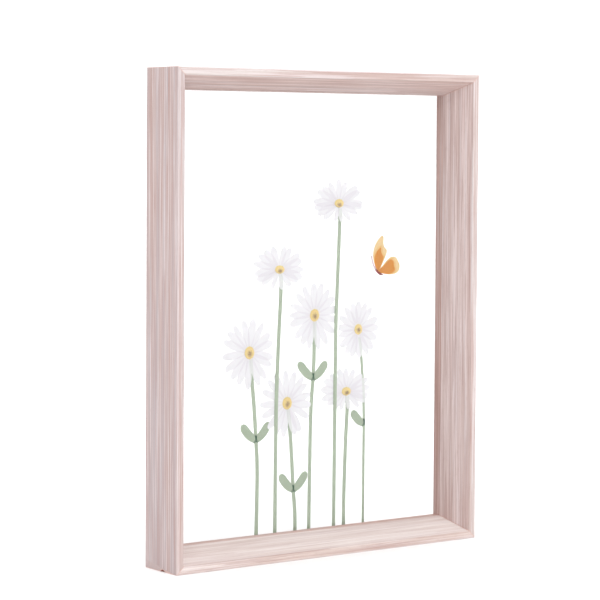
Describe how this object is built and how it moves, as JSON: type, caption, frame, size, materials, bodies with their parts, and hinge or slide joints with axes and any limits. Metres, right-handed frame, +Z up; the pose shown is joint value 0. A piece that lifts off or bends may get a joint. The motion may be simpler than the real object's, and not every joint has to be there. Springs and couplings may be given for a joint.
{
  "type": "pressed flower frame",
  "caption": "Deep slim wooden tabletop frame whose two clear panes press daisies on tall stems and a small orange butterfly; stands on its lower edge.",
  "frame": {"origin": "middle of the underside, halfway between the front and back faces", "axes": "+Z up along the height, +Y from the front face to the back, +X to the right as seen from the front"},
  "size_m": [0.172, 0.0256, 0.2228],
  "materials": {
    "washed_wood": "pale pink-washed straight-grained wood, matt",
    "clear_acrylic": "clear polished sheet",
    "steel": "thin bright steel",
    "petal_white": "dry, thin, slightly see-through petal",
    "disc_yellow": "dry, finely grained floret disc",
    "stem_green": "dry pale green stem, fine lengthwise ribs",
    "leaf_green": "dry pale green leaf with darker margin",
    "wing_orange": "matt scaled wing, paler margin",
    "body_brown": "matt dark red-brown"
  },
  "bodies": {
    "root": {"top_rail": "washed_wood", "bottom_rail": "washed_wood", "left_stile": "washed_wood", "right_stile": "washed_wood", "front_pane": "clear_acrylic", "back_pane": "clear_acrylic", "glazing_point_top_left": "steel", "glazing_point_top_middle": "steel", "glazing_point_top_right": "steel", "glazing_point_bottom_left": "steel", "glazing_point_bottom_middle": "steel", "glazing_point_bottom_right": "steel", "daisy_1_disc": "disc_yellow", "daisy_1_petals": "petal_white", "daisy_1_stem": "stem_green", "daisy_2_disc": "disc_yellow", "daisy_2_petals": "petal_white", "daisy_2_stem": "stem_green", "daisy_3_disc": "disc_yellow", "daisy_3_petals": "petal_white", "daisy_3_stem": "stem_green", "daisy_4_disc": "disc_yellow", "daisy_4_petals": "petal_white", "daisy_4_stem": "stem_green", "daisy_5_disc": "disc_yellow", "daisy_5_petals": "petal_white", "daisy_5_stem": "stem_green", "daisy_6_disc": "disc_yellow", "daisy_6_petals": "petal_white", "daisy_6_stem": "stem_green", "daisy_7_disc": "disc_yellow", "daisy_7_petals": "petal_white", "daisy_7_stem": "stem_green", "daisy_3_leaf_left": "leaf_green", "daisy_3_leaf_right": "leaf_green", "daisy_4_leaf_left": "leaf_green", "daisy_5_leaf_left": "leaf_green", "daisy_5_leaf_right": "leaf_green", "daisy_7_leaf_left": "leaf_green", "daisy_7_leaf_right": "leaf_green", "butterfly_forewing": "wing_orange", "butterfly_hindwing": "wing_orange", "butterfly_body": "body_brown"}
  },
  "joints": []
}
